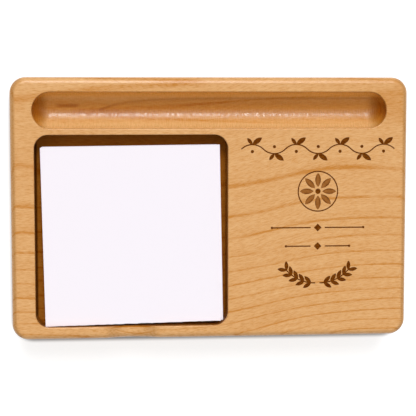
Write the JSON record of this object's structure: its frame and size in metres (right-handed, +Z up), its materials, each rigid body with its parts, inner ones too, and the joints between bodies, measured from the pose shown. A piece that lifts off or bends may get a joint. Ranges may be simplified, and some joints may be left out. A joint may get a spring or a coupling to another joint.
{
  "type": "memo pad holder with drawer",
  "caption": "Hardwood desk holder for square memo sheets with a routed note well, a pen groove, a thumb scoop and a shallow drawer under the board.",
  "frame": {"origin": "at desk level under the middle of the holder", "axes": "+X to the right along the long side, +Y towards the pen groove at the rear, +Z up; the drawer opens towards -Y"},
  "size_m": [0.2222, 0.146, 0.0425],
  "materials": {
    "board_wood": "satin",
    "case_wood": "satin",
    "drawer_wood": "satin",
    "panel_wood": "matte",
    "runner_wood": "satin",
    "screw_steel": "satin",
    "felt": "matte",
    "foot_rubber": "matte",
    "note_paper": "matte"
  },
  "bodies": {
    "case": {"top_board": "board_wood", "left_cheek": "case_wood", "right_cheek": "case_wood", "back_rail": "case_wood", "base_panel": "panel_wood", "left_runner": "runner_wood", "right_runner": "runner_wood", "case_dowels": "runner_wood", "base_screws": "screw_steel", "stop_pegs": "runner_wood", "drawer_bumpers": "felt", "front_left_foot": "foot_rubber", "front_right_foot": "foot_rubber", "rear_left_foot": "foot_rubber", "rear_right_foot": "foot_rubber"},
    "drawer": {"drawer_front": "case_wood", "drawer_left_side": "drawer_wood", "drawer_right_side": "drawer_wood", "drawer_back": "drawer_wood", "drawer_bottom": "panel_wood", "drawer_pins": "runner_wood"},
    "notes": {"note_block": "note_paper", "loose_note": "note_paper"},
    "top_sheet": {"top_note": "note_paper"}
  },
  "joints": [
    {"name": "drawer_slide", "type": "slide", "parent": "case", "child": "drawer", "axis": [0, -1, 0], "range_m": [0, 0.095]},
    {"name": "notes_lift", "type": "slide", "parent": "case", "child": "notes", "axis": [0, 0, 1], "range_m": [0, 0.04]},
    {"name": "top_note_lift", "type": "slide", "parent": "notes", "child": "top_sheet", "axis": [0, 0, 1], "range_m": [0, 0.03]}
  ]
}
